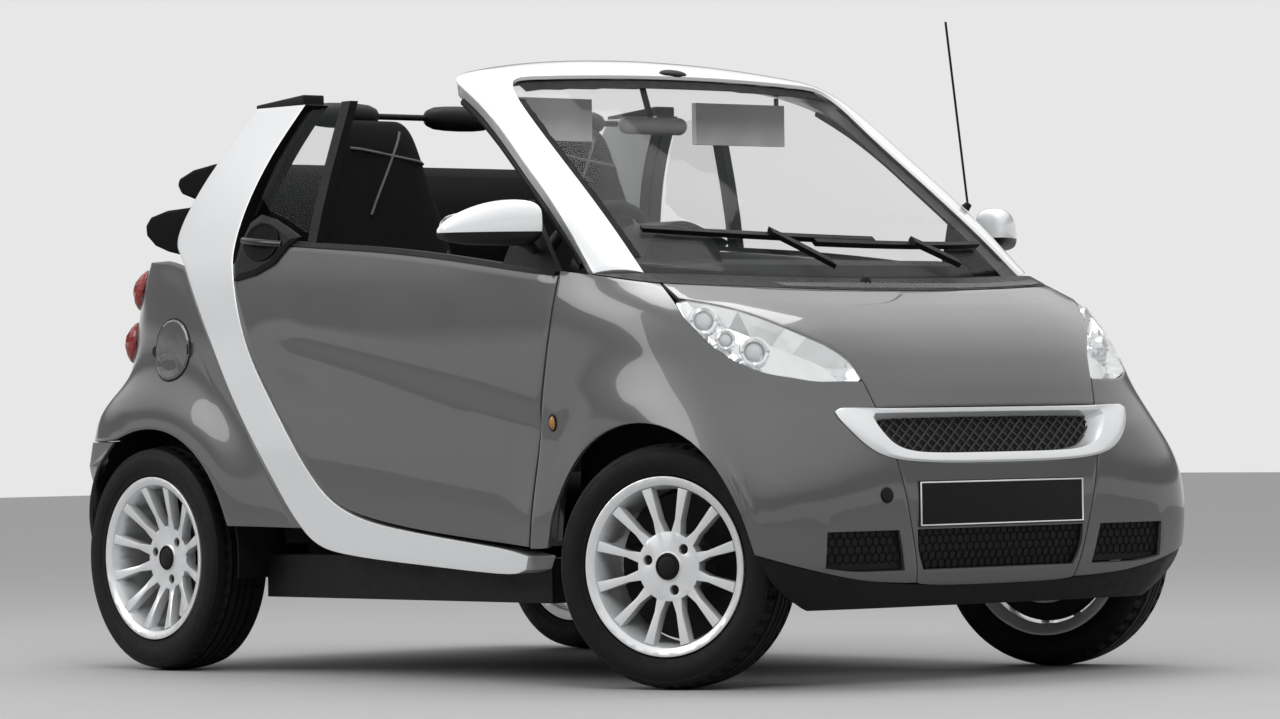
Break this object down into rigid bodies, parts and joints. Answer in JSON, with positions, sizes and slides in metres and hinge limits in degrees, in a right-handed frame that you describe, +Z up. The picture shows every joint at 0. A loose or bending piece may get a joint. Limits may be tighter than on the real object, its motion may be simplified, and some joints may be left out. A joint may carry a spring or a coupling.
{
  "type": "city car",
  "caption": "Small open city car with separate skin panels on a side cell, hinged doors, drop-down tailgate, fuel flap, steered front wheels and free-rolling rear wheels.",
  "frame": {"origin": "on the ground, under the middle of the car's box", "axes": "+X to the front of the car, +Y to its left, +Z up"},
  "size_m": [2.6965, 1.862, 1.6109],
  "materials": {
    "grey_paint": "glossy mid-grey lacquer on moulded panels",
    "silver_paint": "glossy bright silver lacquer",
    "black_plastic": "grained black plastic",
    "dash_plastic": "fine-grained dark plastic",
    "clear_glass": "clear window glass",
    "lamp_glass": "clear moulded lamp cover",
    "lamp_silver": "bright metallised reflector",
    "lamp_red": "red moulded lamp",
    "roof_fabric": "black woven roof cloth",
    "seat_fabric": "dark woven seat cloth",
    "engine_metal": "cast metal, plain block",
    "axle_steel": "dark coated steel",
    "wheel_leather": "grained black leather",
    "tyre_rubber": "black tyre rubber",
    "rim_silver": "silver painted alloy",
    "brake_iron": "turned brake disc"
  },
  "bodies": {
    "body": {"floor_tub": "black_plastic", "cell_sides": "silver_paint", "windscreen_frame": "silver_paint", "windscreen": "clear_glass", "cowl_panel": "black_plastic", "bonnet": "grey_paint", "front_wings": "grey_paint", "bumper_centre": "grey_paint", "front_apron": "black_plastic", "grille_surround": "silver_paint", "grille_mesh": "black_plastic", "headlamp_bowls": "lamp_silver", "headlamp_lenses": "lamp_glass", "rear_quarters": "grey_paint", "tail_lamps": "lamp_red", "rear_bumper": "grey_paint", "soft_top_stack": "roof_fabric", "roof_bar": "black_plastic", "dashboard": "dash_plastic", "seats": "seat_fabric", "wipers": "black_plastic", "antenna": "black_plastic", "engine_block": "engine_metal", "front_axle": "axle_steel", "rear_axle": "axle_steel", "header_fittings": "dash_plastic"},
    "door_right": {"door_right": "grey_paint", "door_right_fittings": "black_plastic", "door_right_glass": "clear_glass", "mirror_right": "silver_paint"},
    "door_left": {"door_left": "grey_paint", "door_left_fittings": "black_plastic", "door_left_glass": "clear_glass", "mirror_left": "silver_paint"},
    "tailgate": {"tailgate": "grey_paint"},
    "fuel_flap": {"fuel_flap": "grey_paint"},
    "steering_wheel": {"steering_wheel": "wheel_leather"},
    "knuckle_right": {"knuckle_right": "axle_steel"},
    "knuckle_left": {"knuckle_left": "axle_steel"},
    "wheel_front_right": {"tyre_front_right": "tyre_rubber", "rim_front_right": "rim_silver", "disc_front_right": "brake_iron"},
    "wheel_front_left": {"tyre_front_left": "tyre_rubber", "rim_front_left": "rim_silver", "disc_front_left": "brake_iron"},
    "wheel_rear_right": {"tyre_rear_right": "tyre_rubber", "rim_rear_right": "rim_silver"},
    "wheel_rear_left": {"tyre_rear_left": "tyre_rubber", "rim_rear_left": "rim_silver"}
  },
  "joints": [
    {"name": "door_right_hinge", "type": "hinge", "parent": "body", "child": "door_right", "pos_m": [0.64, -0.722, 0.66], "axis": [0, 0, 1], "range_deg": [0, 60]},
    {"name": "door_left_hinge", "type": "hinge", "parent": "body", "child": "door_left", "pos_m": [0.64, 0.722, 0.66], "axis": [0, 0, -1], "range_deg": [0, 60]},
    {"name": "tailgate_hinge", "type": "hinge", "parent": "body", "child": "tailgate", "pos_m": [-1.33429, 0, 0.6305], "axis": [0, -1, 0], "range_deg": [0, 90]},
    {"name": "fuel_flap_hinge", "type": "hinge", "parent": "body", "child": "fuel_flap", "pos_m": [-0.826, -0.74845, 0.817], "axis": [0, 0, 1], "range_deg": [0, 100]},
    {"name": "steer_right", "type": "hinge", "parent": "body", "child": "knuckle_right", "pos_m": [0.9055, -0.5485, 0.2835], "axis": [0, 0, 1], "range_deg": [-56, 16]},
    {"name": "steer_left", "type": "hinge", "parent": "body", "child": "knuckle_left", "pos_m": [0.9055, 0.5485, 0.2835], "axis": [0, 0, 1], "range_deg": [-56, 16]},
    {"name": "steering_wheel_turn", "type": "hinge", "parent": "body", "child": "steering_wheel", "pos_m": [0.29, -0.326, 0.985], "axis": [-0.8829, 0, 0.4695], "range_deg": [-672, 192]},
    {"name": "wheel_front_right_spin", "type": "hinge", "parent": "knuckle_right", "child": "wheel_front_right", "pos_m": [0.94141, -0.64717, 0.2835], "axis": [-0.342, 0.9397, 0], "continuous": true},
    {"name": "wheel_front_left_spin", "type": "hinge", "parent": "knuckle_left", "child": "wheel_front_left", "pos_m": [0.86959, 0.64717, 0.2835], "axis": [-0.342, 0.9397, 0], "continuous": true},
    {"name": "wheel_rear_right_spin", "type": "hinge", "parent": "body", "child": "wheel_rear_right", "pos_m": [-0.9615, -0.6925, 0.2865], "axis": [0, 1, 0], "continuous": true},
    {"name": "wheel_rear_left_spin", "type": "hinge", "parent": "body", "child": "wheel_rear_left", "pos_m": [-0.9615, 0.6925, 0.2865], "axis": [0, 1, 0], "continuous": true}
  ],
  "couplings": [
    {"joint": "steer_left", "follows": "steer_right", "ratio": 1},
    {"joint": "steering_wheel_turn", "follows": "steer_right", "ratio": 12}
  ]
}
